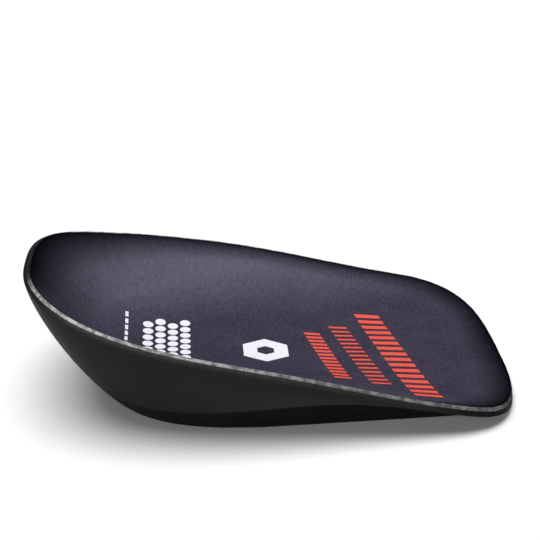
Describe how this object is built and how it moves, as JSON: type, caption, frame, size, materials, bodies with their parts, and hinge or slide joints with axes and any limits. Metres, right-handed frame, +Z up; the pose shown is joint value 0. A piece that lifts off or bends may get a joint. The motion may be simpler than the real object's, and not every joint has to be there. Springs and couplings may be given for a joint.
{
  "type": "heel cup",
  "caption": "Gel heel cup insert with a raised heel wall, a thin toe edge, a cloth cover bonded inside and round pits in its flat sole.",
  "frame": {"origin": "centre of the box round the cup, on the surface that the sole stands on", "axes": "+X from the heel towards the toe edge, +Y to the left, +Z up"},
  "size_m": [0.101, 0.0682, 0.0297],
  "materials": {
    "gel": "satin to glossy moulded black gel",
    "cover_cloth": "matt dark violet-grey microfibre cloth with a pale cut edge"
  },
  "bodies": {
    "root": {"gel_cup": "gel", "top_cover": "cover_cloth"}
  },
  "joints": []
}
